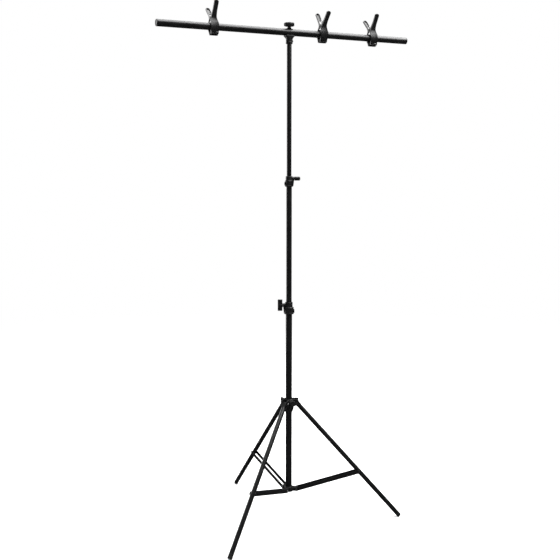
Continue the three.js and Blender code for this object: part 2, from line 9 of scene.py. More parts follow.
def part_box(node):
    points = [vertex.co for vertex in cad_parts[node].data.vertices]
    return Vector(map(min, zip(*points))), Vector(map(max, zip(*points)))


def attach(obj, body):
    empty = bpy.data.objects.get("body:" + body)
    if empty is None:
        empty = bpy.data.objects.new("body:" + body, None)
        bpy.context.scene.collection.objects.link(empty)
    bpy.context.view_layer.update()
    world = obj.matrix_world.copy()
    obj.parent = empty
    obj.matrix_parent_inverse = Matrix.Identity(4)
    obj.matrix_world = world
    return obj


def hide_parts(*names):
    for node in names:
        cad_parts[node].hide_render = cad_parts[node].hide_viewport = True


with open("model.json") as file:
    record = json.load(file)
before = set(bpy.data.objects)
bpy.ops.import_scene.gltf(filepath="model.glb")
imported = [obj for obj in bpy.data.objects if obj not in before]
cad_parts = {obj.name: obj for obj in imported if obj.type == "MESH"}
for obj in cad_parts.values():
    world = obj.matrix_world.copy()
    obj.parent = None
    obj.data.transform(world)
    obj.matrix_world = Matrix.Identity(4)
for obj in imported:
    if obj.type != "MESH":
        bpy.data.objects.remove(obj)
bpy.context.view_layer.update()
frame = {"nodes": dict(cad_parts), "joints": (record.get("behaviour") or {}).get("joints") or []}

# Shapes are drawn in millimetres and scaled to metres when they become objects.
MM = 0.001
ROUND = 72
SMALL_ROUND = 40


# ---- what the frame says ----------------------------------------------------------

JOINTS = {joint["name"]: joint for joint in frame["joints"]}


def box_mm(node):
    """Lowest and highest corner of a CAD node, in millimetres."""
    low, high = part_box(node)
    return low / MM, high / MM


def middle(node):
    low, high = box_mm(node)
    return (low + high) / 2


def column_part(node):
    """Radius, bottom and top of a node that is round about the column."""
    low, high = box_mm(node)
    return (high.x - low.x) / 2, low.z, high.z


COLUMN = middle("bottom_tube").xy


def at_column(z=0.0):
    return Matrix.Translation((COLUMN.x, COLUMN.y, z))


def joint_point(name):
    return Vector(JOINTS[name]["pos_m"]) / MM


def azimuth_of(vector):
    return math.atan2(vector[1], vector[0])


# ---- mesh helpers -----------------------------------------------------------------


def finish_mesh(name, bm, sharp=32):
    bmesh.ops.recalc_face_normals(bm, faces=bm.faces)
    mesh = bpy.data.meshes.new(name)
    bm.to_mesh(mesh)
    bm.free()
    mesh.transform(Matrix.Scale(MM, 4))
    mesh.shade_smooth()
    mesh.set_sharp_from_angle(angle=math.radians(sharp))
    return mesh


def metres(matrix):
    """The same placement with its translation in metres."""
    scaled = matrix.copy()
    scaled.translation = matrix.translation * MM
    return scaled


def piece(name, mesh, material, body, place=None, replaces=()):
    made = bpy.data.objects.new(name, mesh)
    bpy.context.scene.collection.objects.link(made)
    made.matrix_world = metres(place if place is not None else at_column())
    if not mesh.materials:
        mesh.materials.append(material)
    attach(made, body)
    if replaces:
        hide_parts(*replaces)
    return made


def baked(mesh, *modifiers):
    """The mesh with modifiers applied. Each is (type, {setting: value})."""
    holder = bpy.data.objects.new("holder", mesh)
    bpy.context.scene.collection.objects.link(holder)
    for number, (kind, settings) in enumerate(modifiers):
        modifier = holder.modifiers.new(f"m{number}", kind)
        for key, value in settings.items():
            setattr(modifier, key, value)
    depsgraph = bpy.context.evaluated_depsgraph_get()
    result = bpy.data.meshes.new_from_object(holder.evaluated_get(depsgraph))
    bpy.data.objects.remove(holder)
    return result


def fillet(points, radius, steps=4, closed=True):
    """The outline with each corner rounded. A radius of its own is a point's third number."""
    count = len(points)
    rounded = []
    for i, point in enumerate(points):
        corner = Vector(point[:2])
        own = point[2] if len(point) > 2 else radius
        if own <= 0 or (not closed and i in (0, count - 1)):
            rounded.append(corner)
            continue
        before = Vector(points[i - 1][:2]) - corner
        after = Vector(points[(i + 1) % count][:2]) - corner
        angle = before.angle(after, math.pi)
        if angle > math.pi - 0.02:
            rounded.append(corner)
            continue
        reach = min(own / math.tan(angle / 2), before.length * 0.49, after.length * 0.49)
        start, end = corner + before.normalized() * reach, corner + after.normalized() * reach
        for step in range(steps + 1):
            t = step / steps
            rounded.append(start * (1 - t) ** 2 + corner * 2 * t * (1 - t) + end * t * t)
    return rounded


def arc(centre, radius, start, end, steps=16):
    """Points on an arc, in degrees."""
    points = []
    for step in range(steps + 1):
        angle = math.radians(start + (end - start) * step / steps)
        points.append((centre[0] + radius * math.cos(angle), centre[1] + radius * math.sin(angle)))
    return points


def turned(profile, segments=ROUND, closed=True):
    """A profile of (radius, height) turned about Z: a closed ring, or open from axis to axis."""
    bm = bmesh.new()
    rows = []
    for step in range(segments):
        angle = 2 * math.pi * step / segments
        c, s = math.cos(angle), math.sin(angle)
        rows.append([bm.verts.new((p[0] * c, p[0] * s, p[1])) for p in profile])
    count = len(profile)
    last = count if closed else count - 1
    for step in range(segments):
        here, there = rows[step], rows[(step + 1) % segments]
        for i in range(last):
            j = (i + 1) % count
            bm.faces.new((here[i], there[i], there[j], here[j]))
    bmesh.ops.remove_doubles(bm, verts=bm.verts, dist=1e-5)
    return bm


def slab(outline, low, high, bevel=0.0, segments=3):
    """An outline in XY with thickness from low to high along Z and rounded rims."""
    bm = bmesh.new()
    face = bm.faces.new([bm.verts.new((p[0], p[1], low)) for p in outline])
    made = bmesh.ops.extrude_face_region(bm, geom=[face])
    top = [v for v in made["geom"] if isinstance(v, bmesh.types.BMVert)]
    bmesh.ops.translate(bm, verts=top, vec=(0, 0, high - low))
    bmesh.ops.recalc_face_normals(bm, faces=bm.faces)
    if bevel:
        rims = [e for e in bm.edges if abs(e.verts[0].co.z - e.verts[1].co.z) < 1e-6]
        bmesh.ops.bevel(
            bm, geom=rims, offset=bevel, segments=segments, profile=0.5, affect="EDGES",
            clamp_overlap=True,
        )
    return bm


def moved(bm, matrix):
    bmesh.ops.transform(bm, matrix=matrix, verts=bm.verts)
    return bm


def together(*parts):
    """One bmesh that holds all the parts."""
    whole = bmesh.new()
    for part in parts:
        mesh = bpy.data.meshes.new("part")
        bmesh.ops.recalc_face_normals(part, faces=part.faces)
        part.to_mesh(mesh)
        part.free()
        whole.from_mesh(mesh)
        bpy.data.meshes.remove(mesh)
    return whole


def cast(name, parts, voxel=0.55, rounding=5):
    """Overlapping closed parts fused into one moulded body whose edges and inner corners are rounded."""
    mesh = finish_mesh(name, together(*parts))
    fused = baked(
        mesh,
        ("REMESH", {"mode": "VOXEL", "voxel_size": voxel * MM, "use_smooth_shade": True}),
        ("SMOOTH", {"factor": 0.5, "iterations": rounding}),
    )
    fused.name = name
    fused.shade_smooth()
    return fused


def spline(points, per_span=8):
    """A smooth curve through the points."""
    ends = [Vector(points[0]) * 2 - Vector(points[1]), *map(Vector, points)]
    ends.append(Vector(points[-1]) * 2 - Vector(points[-2]))
    curve = []
    for a, b, c, d in zip(ends, ends[1:], ends[2:], ends[3:]):
        for step in range(per_span):
            t = step / per_span
            curve.append(
                0.5 * (
                    (2 * b) + (c - a) * t + (2 * a - 5 * b + 4 * c - d) * t**2
                    + (3 * b - a - 3 * c + d) * t**3
                )
            )
    curve.append(ends[-2])
    return curve


def swept(points, radius, sides=12):
    """A round wire along the points, closed at both ends."""
    bm = bmesh.new()
    rings = []
    across = None
    for i, point in enumerate(points):
        tangent = (points[min(i + 1, len(points) - 1)] - points[max(i - 1, 0)]).normalized()
        if across is None:
            across = tangent.orthogonal().normalized()
        across = (across - tangent * across.dot(tangent)).normalized()
        other = tangent.cross(across)
        rings.append([
            bm.verts.new(point + (across * math.cos(a) + other * math.sin(a)) * radius)
            for a in (2 * math.pi * k / sides for k in range(sides))
        ])
    for here, there in zip(rings, rings[1:]):
        for k in range(sides):
            bm.faces.new((here[k], here[(k + 1) % sides], there[(k + 1) % sides], there[k]))
    bm.faces.new(rings[0][::-1])
    bm.faces.new(rings[-1])
    return bm


# Turns Z to X, for parts drawn along Z that lie along X, and XY outlines to other planes.
Z_TO_X = Matrix.Rotation(math.pi / 2, 4, "Y")
Z_TO_Y = Matrix.Rotation(-math.pi / 2, 4, "X")
XY_TO_XZ = Matrix.Rotation(math.pi / 2, 4, "X")
XY_TO_YZ = Matrix(((0, 0, 1, 0), (1, 0, 0, 0), (0, 1, 0, 0), (0, 0, 0, 1)))


def turn_z(angle):
    return Matrix.Rotation(angle, 4, "Z")


def slide_z(distance):
    return Matrix.Translation((0, 0, distance))


# ---- materials --------------------------------------------------------------------


class Nodes:
    """A material's node tree with short calls for the nodes that the finishes use."""

    def __init__(self, name):
        self.material = bpy.data.materials.new(name)
        self.material.use_nodes = True
        self.tree = self.material.node_tree
        self.shader = self.tree.nodes["Principled BSDF"]
        self.place = self.tree.nodes.new("ShaderNodeTexCoord").outputs["Object"]

    def link(self, source, target):
        self.tree.links.new(source, target)
        return target

    def stretched(self, x, y, z):
        node = self.tree.nodes.new("ShaderNodeMapping")
        node.inputs["Scale"].default_value = (x, y, z)
        self.link(self.place, node.inputs["Vector"])
        return node.outputs["Vector"]

    def noise(self, scale, detail=4.0, roughness=0.6, vector=None):
        node = self.tree.nodes.new("ShaderNodeTexNoise")
        node.inputs["Scale"].default_value = scale
        node.inputs["Detail"].default_value = detail
        node.inputs["Roughness"].default_value = roughness
        self.link(vector or self.place, node.inputs["Vector"])
        return node.outputs["Fac"]

    def cells(self, scale):
        node = self.tree.nodes.new("ShaderNodeTexVoronoi")
        node.inputs["Scale"].default_value = scale
        self.link(self.place, node.inputs["Vector"])
        return node.outputs["Distance"]

    def ramp(self, source, low, high, start, end):
        """source from low to high becomes a number from start to end."""
        node = self.tree.nodes.new("ShaderNodeMapRange")
        for key, value in (("From Min", low), ("From Max", high), ("To Min", start), ("To Max", end)):
            node.inputs[key].default_value = value
        self.link(source, node.inputs["Value"])
        return node.outputs["Result"]

    def maths(self, operation, a, b):
        node = self.tree.nodes.new("ShaderNodeMath")
        node.operation = operation
        for value, socket in ((a, node.inputs[0]), (b, node.inputs[1])):
            if isinstance(value, (int, float)):
                socket.default_value = value
            else:
                self.link(value, socket)
        return node.outputs["Value"]

    def blend(self, factor, first, second):
        node = self.tree.nodes.new("ShaderNodeMix")
        node.data_type = "RGBA"
        node.inputs["A"].default_value = (*first, 1)
        if isinstance(second, tuple):
            node.inputs["B"].default_value = (*second, 1)
        else:
            self.link(second, node.inputs["B"])
        self.link(factor, node.inputs["Factor"])
        return node.outputs["Result"]

    def bump(self, height, strength, distance, normal=None):
        node = self.tree.nodes.new("ShaderNodeBump")
        node.inputs["Strength"].default_value = strength
        node.inputs["Distance"].default_value = distance
        self.link(height, node.inputs["Height"])
        if normal:
            self.link(normal, node.inputs["Normal"])
        return node.outputs["Normal"]

    def set(self, **values):
        for key, value in values.items():
            self.shader.inputs[key.replace("_", " ")].default_value = value


def grey(value):
    return (value, value, value * 1.03)


def painted_tube():
    """Satin black powder coat: fine orange peel, long rub marks along the tube and a little dust."""
    n = Nodes("satin_black_paint")
    rubs = n.noise(1.0, 3, 0.7, n.stretched(900, 900, 9))
    cloud = n.noise(14, 4)
    dust = n.noise(900, 2)
    colour = n.blend(n.ramp(cloud, 0.35, 0.7, 0, 1), grey(0.003), grey(0.005))
    marks = n.tree.nodes.new("ShaderNodeMix")
    marks.data_type = "RGBA"
    marks.inputs["B"].default_value = (*grey(0.02), 1)
    n.link(colour, marks.inputs["A"])
    n.link(n.ramp(rubs, 0.66, 0.8, 0, 0.35), marks.inputs["Factor"])
    n.link(marks.outputs["Result"], n.shader.inputs["Base Color"])
    rough = n.maths("ADD", n.ramp(cloud, 0.3, 0.7, 0.27, 0.37), n.ramp(rubs, 0.4, 0.8, 0, 0.1))
    n.link(rough, n.shader.inputs["Roughness"])
    peel = n.bump(n.noise(700, 2), 0.12, 0.0002)
    n.link(n.bump(dust, 0.05, 0.0001, peel), n.shader.inputs["Normal"])
    n.set(Specular_IOR_Level=0.55)
    return n.material


def moulded(name, tone, low, high, grain, depth):
    """Moulded black nylon: fine spark-eroded grain and faint flow marks."""
    n = Nodes(name)
    flow = n.noise(60, 4, 0.6, n.stretched(1, 1, 0.35))
    fine = n.noise(grain, 3, 0.7)
    scuffs = n.noise(240, 6, 0.75)
    colour = n.blend(n.ramp(flow, 0.35, 0.7, 0, 1), grey(tone), grey(tone * 1.5))
    worn = n.tree.nodes.new("ShaderNodeMix")
    worn.data_type = "RGBA"
    worn.inputs["B"].default_value = (*grey(tone * 3.5), 1)
    n.link(colour, worn.inputs["A"])
    n.link(n.ramp(scuffs, 0.62, 0.78, 0, 0.4), worn.inputs["Factor"])
    n.link(worn.outputs["Result"], n.shader.inputs["Base Color"])
    n.link(n.ramp(flow, 0.3, 0.7, low, high), n.shader.inputs["Roughness"])
    n.link(n.bump(fine, depth, 0.0002), n.shader.inputs["Normal"])
    n.set(Specular_IOR_Level=0.45)
    return n.material


def soft_rubber():
    """Black rubber: dull, slightly dusty, with a pebbled skin."""
    n = Nodes("black_rubber")
    dust = n.noise(120, 5, 0.7)
    colour = n.blend(n.ramp(dust, 0.45, 0.75, 0, 1), grey(0.0045), grey(0.011))
    n.link(colour, n.shader.inputs["Base Color"])
    n.link(n.ramp(dust, 0.3, 0.7, 0.62, 0.85), n.shader.inputs["Roughness"])
    n.link(n.bump(n.cells(1400), 0.15, 0.0002), n.shader.inputs["Normal"])
    n.set(Specular_IOR_Level=0.35)
    return n.material


def plated_steel(name="zinc_plated_steel", tone=0.33):
    """Zinc-plated steel: turned marks, patchy bloom and small stains."""
    n = Nodes(name)
    lines = n.noise(1.0, 2, 0.6, n.stretched(2500, 2500, 160))
    bloom = n.noise(180, 5, 0.65)
    colour = n.blend(n.ramp(bloom, 0.35, 0.7, 0, 1), grey(tone), (tone * 1.5, tone * 1.48, tone * 1.42))
    n.link(colour, n.shader.inputs["Base Color"])
    n.link(n.ramp(bloom, 0.3, 0.75, 0.26, 0.46), n.shader.inputs["Roughness"])
    n.link(n.bump(lines, 0.1, 0.0001), n.shader.inputs["Normal"])
    n.set(Metallic=1.0)
    return n.material


PAINT = painted_tube()
PLASTIC = moulded("matte_black_nylon", 0.0042, 0.4, 0.54, 900, 0.22)
CLAMP_PLASTIC = moulded("satin_black_nylon", 0.005, 0.3, 0.42, 800, 0.14)
RUBBER = soft_rubber()
STEEL = plated_steel()
BLACKENED = plated_steel("blackened_steel", 0.05)


# ---- column -----------------------------------------------------------------------


def tube_mesh(name, radius, bore, low, high):
    profile = fillet([(radius, low), (radius, high), (bore, high), (bore, low)], 0.25, 3)
    return finish_mesh(name, turned(profile))


def column_tubes():
    wall = 1.0
    for node, body in (
        ("bottom_tube", "base"), ("middle_tube", "middle_section"), ("top_tube", "top_section")
    ):
        radius, low, high = column_part(node)
        mesh = tube_mesh(node, radius, radius - wall, low, high)
        piece(f"{node}_drawn", mesh, PAINT, body, at_column(), [node])


def collar_sizes(joint):
    """Body radius, neck radius, pinch-bolt pad and wing depth of the collar with this lock knob."""
    return (16.5, 12.8, 2.5, 16) if joint.startswith("lower") else (13.8, 11.6, 1.8, 18)


def collar(node, body, knob_joint, tube):
    """A clamping collar: body and neck with soft edges, screw boss, rib and pinch-bolt pads."""
    _, low, high = column_part(node)
    grip = column_part(tube)[0] + 0.12
    guide = grip - 1.6
    outer, neck, pad, _ = collar_sizes(knob_joint)
    azimuth = azimuth_of(JOINTS[knob_joint]["axis"])
    screw_z = joint_point(knob_joint).z
    shoulder = screw_z - 7
    ring = turned(fillet([
        (grip, low, 0.4), (outer, low, 1.2), (outer, low + 4.2, 0.5), (outer - 0.7, low + 4.9, 0.4),
        (outer - 0.7, shoulder - 5.4, 0.4), (outer, shoulder - 4.7, 0.5), (outer, shoulder, 1.6),
        (neck, shoulder + 1.2, 1.2), (neck, high, 1.3), (guide, high, 0.4), (guide, low + 6, 0.3),
        (grip, low + 6, 0.3),
    ], 1.0))
    boss_row = [(0, 10), (6.8, 10), (6.3, outer + 4), (0, outer + 4)]
    boss = turned(fillet(boss_row, 0.9, closed=False), 48, closed=False)
    moved(boss, slide_z(screw_z) @ Z_TO_X)
    rib_side = [
        (guide + 1, low + 3), (outer + 1, low + 3), (outer + 3.4, screw_z - 4), (guide + 1, screw_z),
    ]
    rib = slab(rib_side, -2.4, 2.4)
    parts = [ring, boss, moved(rib, XY_TO_XZ)]
    for side in (-1, 1):
        reach = -outer - pad
        lug = [(reach, low + 4), (-grip - 1, low + 3), (-grip - 1, low + 17), (reach, low + 16)]
        parts.append(moved(slab(fillet(lug, 2.2, 5), side * 0.9, side * 5.2), XY_TO_XZ))
    mesh = cast(f"{node}_cast", parts, 0.5, 4)
    place = at_column() @ turn_z(azimuth)
    piece(f"{node}_cast", mesh, PLASTIC, body, place, [node])

    bolt_row = [
        (0, -7.4), (2.6, -7.4), (2.6, -4.8), (1.6, -4.8), (1.6, 4.8), (2.9, 4.8), (2.9, 7.2), (1.5, 7.2),
        (1.5, 6), (0, 6),
    ]
    bolt = turned(fillet(bolt_row, 0.3, 2, closed=False), SMALL_ROUND, closed=False)
    moved(bolt, Matrix.Translation((-outer + 0.6, 0, low + 10)) @ Z_TO_Y)
    piece(f"{node}_pinch_bolt", finish_mesh("pinch_bolt", bolt), BLACKENED, body, place, ())


def wing_knob(node, body, joint, along_z):
    """A wing knob: two swept wings with thumb hollows on a round boss, moulded over the screw."""
    azimuth = azimuth_of(JOINTS[joint]["axis"])
    z = joint_point(joint).z
    outer, _, _, wing = collar_sizes(joint)
    start, end = outer + 5.8, outer + 5.8 + wing
    half = 19.5
    outline = []
    for u, v in ((1, 1), (-1, 1), (-1, -1), (1, -1)):
        side = [
            (u * half, v * 1.6, 1.6), (u * (half - 0.6), v * 4.9, 2.4), (u * 11, v * 4.3, 6),
            (u * 6, v * 4.9, 5),
        ]
        outline += side if u * v > 0 else side[::-1]
    wings = slab(fillet(outline, 2, 5), start, end, 1.9, 4)
    swell = slab(arc((0, 0), 6.6, 0, 360, 40)[:-1], start - 1, end - 1.2, 1.6, 3)
    hub_row = [(0, outer + 4.4), (6.6, outer + 4.4), (7.0, start + 3), (0, start + 3)]
    hub = turned(fillet(hub_row, 0.8, closed=False), 48, closed=False)
    mesh = cast(f"{node}_wings", [wings, swell, hub], 0.45, 4)
    spin = turn_z(math.pi / 2) if not along_z else Matrix.Identity(4)
    place = at_column(z) @ turn_z(azimuth) @ Z_TO_X @ spin
    piece(f"{node}_wings", mesh, PLASTIC, body, place, [node])

    tip = column_part("middle_tube" if joint.startswith("lower") else "top_tube")[0] + 0.4
    thread = [(0, tip), (2.4, tip)]
    turns = int(outer + 5 - tip)
    for k in range(turns):
        thread += [(3.0, tip + 0.35 + k), (2.5, tip + 0.85 + k)]
    thread.append((0, tip + 1 + turns))
    screw = finish_mesh("knob_screw", turned(thread, 24, closed=False))
    screw_place = at_column(z) @ turn_z(azimuth) @ Z_TO_X
    piece(f"{node}_screw", screw, STEEL, body, screw_place, ())


# ---- tripod -----------------------------------------------------------------------

LEG_NAMES = ("right", "front", "back")


def leg_azimuth(side):
    point = joint_point(f"leg_{side}_fold")
    return azimuth_of(point.xy - COLUMN)


def leg_collar():
    """The sliding casting: ring, tapered skirt, three clevises with webs and the screw boss."""
    low, high = (v.z for v in box_mm("leg_collar"))
    hinge = joint_point("leg_right_fold")
    hinge_z = hinge.z
    hinge_r = (hinge.xy - COLUMN).length
    bore = column_part("bottom_tube")[0] + 0.25
    body, shoulder = 17.0, low + 19
    ring = turned(fillet([
        (bore, low, 0.4), (12.6, low, 0.5), (13.2, low + 3.5, 1), (18, shoulder - 4, 2),
        (body, shoulder, 1.5), (body, high, 1.6), (bore, high, 0.5),
    ], 1.0))
    parts = [ring]
    ear = [Vector((10, shoulder)), Vector((hinge_r - 1, hinge_z - 8))]
    ear += [Vector(p) for p in arc((hinge_r, hinge_z), 8, -90, 0, 10)]
    ear += [Vector(p) for p in arc((hinge_r + 2.6, high - 4.4), 4.4, 0, 90, 6)] + [Vector((10, high))]
    for side in LEG_NAMES:
        turn = turn_z(leg_azimuth(side))
        for sign in (-1, 1):
            plate = slab(ear, -2.2, 2.2, 0.6, 2)
            parts.append(moved(plate, turn @ Matrix.Translation((0, sign * 10.75, 0)) @ XY_TO_XZ))
        # a web behind the leg's head ties the two ears together
        web_face = [(-10, shoulder - 3), (10, shoulder - 3), (9.4, high - 1), (-9.4, high - 1)]
        web = slab(web_face, 14.2, 17.6, 0.6, 2)
        parts.append(moved(web, turn @ turn_z(math.pi / 2) @ XY_TO_XZ @ Matrix.Scale(-1, 4, (0, 0, 1))))
    axis = JOINTS["leg_collar_knob_turn"]["axis"]
    screw_z = joint_point("leg_collar_knob_turn").z
    boss_row = [(0, bore + 1), (7, bore + 1), (6.2, 23), (0, 23)]
    boss = turned(fillet(boss_row, 0.8, closed=False), 48, closed=False)
    parts.append(moved(boss, turn_z(azimuth_of(axis)) @ slide_z(screw_z) @ Z_TO_X))
    mesh = cast("leg_collar_cast", parts, 0.6, 4)
    piece("leg_collar_cast", mesh, PLASTIC, "leg_carriage", at_column(), ["leg_collar"])


def lobed(radius, depth, lobes, profile, segments=126):
    """A knob whose lobes fade in with the third number of each (radius share, height, lobe) row."""
    bm = bmesh.new()
    rows = []
    for step in range(segments):
        angle = 2 * math.pi * step / segments
        # a wide round lobe with a narrow flute between neighbours
        flute = (0.5 - 0.5 * math.cos(lobes * angle)) ** 3
        row = []
        for share, z, lobe in profile:
            r = radius * share - depth * flute * lobe
            row.append(bm.verts.new((r * math.cos(angle), r * math.sin(angle), z)))
        rows.append(row)
    for step in range(segments):
        here, there = rows[step], rows[(step + 1) % segments]
        for i in range(len(profile) - 1):
            bm.faces.new((here[i], there[i], there[i + 1], here[i + 1]))
    bmesh.ops.remove_doubles(bm, verts=bm.verts, dist=1e-5)
    return bm


def leg_collar_knob():
    azimuth = azimuth_of(JOINTS["leg_collar_knob_turn"]["axis"])
    z = joint_point("leg_collar_knob_turn").z
    profile = [
        (0, 23.4, 0), (0.6, 23.4, 0), (0.65, 24, 0), (0.65, 27.6, 0), (0.72, 28.4, 0), (0.86, 28.6, 0.8),
        (0.95, 29.1, 1), (0.99, 30, 1), (1, 31, 1), (1, 34.4, 1), (0.98, 35.8, 1), (0.92, 36.6, 0.9),
        (0.82, 37, 0.4), (0.6, 36.9, 0), (0.5, 36.2, 0), (0, 36.2, 0),
    ]
    mesh = finish_mesh("leg_collar_knob_lobes", lobed(10.5, 1.1, 6, profile), 40)
    place = at_column(z) @ turn_z(azimuth) @ Z_TO_X
    body = "leg_carriage_knob"
    piece("leg_collar_knob_lobes", mesh, PLASTIC, body, place, ["leg_collar_knob"])
    shank = turned([(0, 11.7), (3, 11.7), (3, 25), (0, 25)], 32, closed=False)
    screw = finish_mesh("leg_collar_screw", shank)
    piece("leg_collar_screw", screw, STEEL, body, place, ())


def brace_hub():
    low, high = (v.z for v in box_mm("brace_hub"))
    pivot = joint_point("brace_right_fold")
    pivot_r = (pivot.xy - COLUMN).length
    grip = column_part("bottom_tube")[0] + 0.25
    parts = [turned(fillet([
        (8.6, low, 0.5), (15.4, low, 1.2), (15.6, high - 3, 0.8), (14.6, high, 1.2), (grip, high, 0.4),
        (grip, low + 3, 0.3), (8.6, low + 3, 0.3),
    ], 1.0))]
    for side in LEG_NAMES:
        lug = [(10, pivot.z - 7), *arc((pivot_r, pivot.z), 7.2, -90, 90, 16), (10, pivot.z + 7)]
        plate = slab([Vector(p) for p in lug], -8.0, 8.0, 0.8, 2)
        parts.append(moved(plate, turn_z(leg_azimuth(side)) @ XY_TO_XZ))
    mesh = cast("brace_hub_cast", parts, 0.55, 4)
    piece("brace_hub_cast", mesh, PLASTIC, "base", at_column(), ["brace_hub"])


def rivet_mesh(name, half_grip, radius=4.4, height=1.7, shaft=2.5):
    """A rivet along Z with a domed factory head and a flatter, dished set head."""
    end = half_grip + 0.15
    angles = (math.pi / 2 * k / 8 for k in range(9))
    dome = [(radius * math.cos(a), end + height * math.sin(a)) for a in angles]
    dome[-1] = (0, end + height)
    set_head = [
        (0, -end - height * 0.45), (radius * 0.45, -end - height * 0.45),
        (radius * 0.6, -end - height * 0.7), (radius * 0.92, -end - height * 0.55), (radius * 0.95, -end),
    ]
    profile = [*set_head, (shaft, -end), (shaft, end), *dome]
    return finish_mesh(name, turned(profile, SMALL_ROUND, closed=False), 40)


def link_outline(length, radius):
    return arc((length, 0), radius, -90, 90, 18) + arc((0, 0), radius, 90, 270, 18)


LEG_RADIUS = 8
LEG_LENGTH = 551  # from the hinge to the end of the foot


def leg(side, meshes):
    """One leg: tube, hinge plug with a tongue, foot cut level with the floor, and its pivot."""
    hinge = joint_point(f"leg_{side}_fold")
    azimuth = leg_azimuth(side)
    direction = (middle(f"leg_tube_{side}") - hinge).normalized()
    radial = Vector((math.cos(azimuth), math.sin(azimuth), 0))
    tilt = math.atan2(direction.dot(radial), direction.z)
    at_hinge = Matrix.Translation(hinge) @ turn_z(azimuth)
    axis = at_hinge @ Matrix.Rotation(tilt, 4, "Y")
    body = f"leg_{side}"
    rivet_point = middle(f"brace_leg_pin_{side}")
    rivet_along = (rivet_point - hinge).dot(direction)
    if not meshes:
        radius, end = LEG_RADIUS, LEG_LENGTH
        meshes["tube"] = tube_mesh("leg_tube", radius, 7, 12.3, end - 15)
        tongue = slab(link_outline(11.6, 7.7), -7.3, 7.3, 0.9, 3)
        moved(tongue, Matrix.Rotation(-math.pi / 2, 4, "Y") @ XY_TO_XZ)
        rim_row = [(0, 9.5), (7.95, 9.5), (7.95, 12), (6.7, 12.2), (6.7, 38), (0, 38)]
        rim = turned(fillet(rim_row, 0.4, closed=False), ROUND, closed=False)
        meshes["plug"] = finish_mesh("leg_plug", together(tongue, rim))
        foot = turned(fillet([
            (0, end - 39), (6.7, end - 39), (6.7, end - 15.2), (radius, end - 14.7, 0.3),
            (radius, end - 11.6, 0.3), (7.7, end - 11.3, 0.2), (7.7, end - 10.7, 0.2),
            (radius, end - 10.4, 0.3), (radius, end, 1.4), (0, end),
        ], 0.4, closed=False), ROUND, closed=False)
        floor_frame = Matrix.Rotation(tilt, 4, "Y")
        level = -hinge.z
        down = floor_frame.inverted().to_3x3() @ Vector((0, 0, 1))
        cut = bmesh.ops.bisect_plane(
            foot, geom=foot.verts[:] + foot.edges[:] + foot.faces[:], plane_co=down * level,
            plane_no=down, clear_inner=True,
        )
        rim_edges = [e for e in cut["geom_cut"] if isinstance(e, bmesh.types.BMEdge)]
        bmesh.ops.edgeloop_fill(foot, edges=rim_edges)
        meshes["foot"] = finish_mesh("leg_foot", foot)
        meshes["pivot"] = rivet_mesh("leg_pivot", 13.1)
        shaft = turned([(0, -8.2), (2.5, -8.2), (2.5, 8.2), (0, 8.2)], 32, closed=False)
        meshes["pin"] = finish_mesh("leg_pin", shaft)
    node = f"leg_tube_{side}"
    piece(f"{node}_drawn", meshes["tube"], PAINT, body, axis, [node])
    node = f"leg_plug_{side}"
    piece(f"{node}_moulded", meshes["plug"], PLASTIC, body, axis, [node])
    node = f"leg_foot_{side}"
    piece(f"{node}_moulded", meshes["foot"], RUBBER, body, axis, [node])
    across = at_hinge @ Z_TO_Y
    node = f"leg_pivot_{side}"
    piece(f"{node}_rivet", meshes["pivot"], STEEL, "leg_carriage", across, [node])
    pin_place = axis @ slide_z(rivet_along) @ Z_TO_Y
    node = f"brace_leg_pin_{side}"
    piece(f"{node}_shaft", meshes["pin"], BLACKENED, body, pin_place, [node])


def braces(side, meshes):
    """Two flat bars with rolled edges, a rivet head on each at the leg and one rivet at the hub."""
    pivot = joint_point(f"brace_{side}_fold")
    azimuth = leg_azimuth(side)
    rivet_point = middle(f"brace_leg_pin_{side}")
    flat = Matrix.Rotation(-azimuth, 3, "Z") @ (rivet_point - pivot)
    length = math.hypot(flat.x, flat.z)
    rise = math.atan2(flat.z, flat.x)
    place = Matrix.Translation(pivot) @ turn_z(azimuth) @ Matrix.Rotation(-rise, 4, "Y")
    body = f"brace_{side}"
    if not meshes:
        bar = slab([Vector(p) for p in link_outline(length, 6.75)], -0.8, 0.8, 0.35, 3)
        head_row = [(0, 0.7), (4.2, 0.7), (4.1, 1.3), (3.2, 2.1), (1.6, 2.5), (0, 2.6)]
        head = turned(head_row, SMALL_ROUND, closed=False)
        moved(head, Matrix.Translation((length, 0, 0)))
        meshes["bar"] = finish_mesh("brace_bar", together(bar, head), 40)
        meshes["pin"] = rivet_mesh("brace_pivot", 10.1, 4.2, 1.5)
    for letter, sign in (("a", 1), ("b", -1)):
        lie = Matrix.Translation((0, sign * 9.3, 0)) @ Matrix.Rotation(-sign * math.pi / 2, 4, "X")
        node = f"brace_bar_{side}_{letter}"
        piece(f"{node}_stamped", meshes["bar"], PAINT, body, place @ lie, [node])
    across = Matrix.Translation(pivot) @ turn_z(azimuth) @ Z_TO_Y
    node = f"brace_hub_pin_{side}"
    piece(f"{node}_rivet", meshes["pin"], STEEL, "base", across, [node])


# ---- crossbar and saddle ----------------------------------------------------------

BAR = middle("crossbar")
HEAD = "crossbar_head"


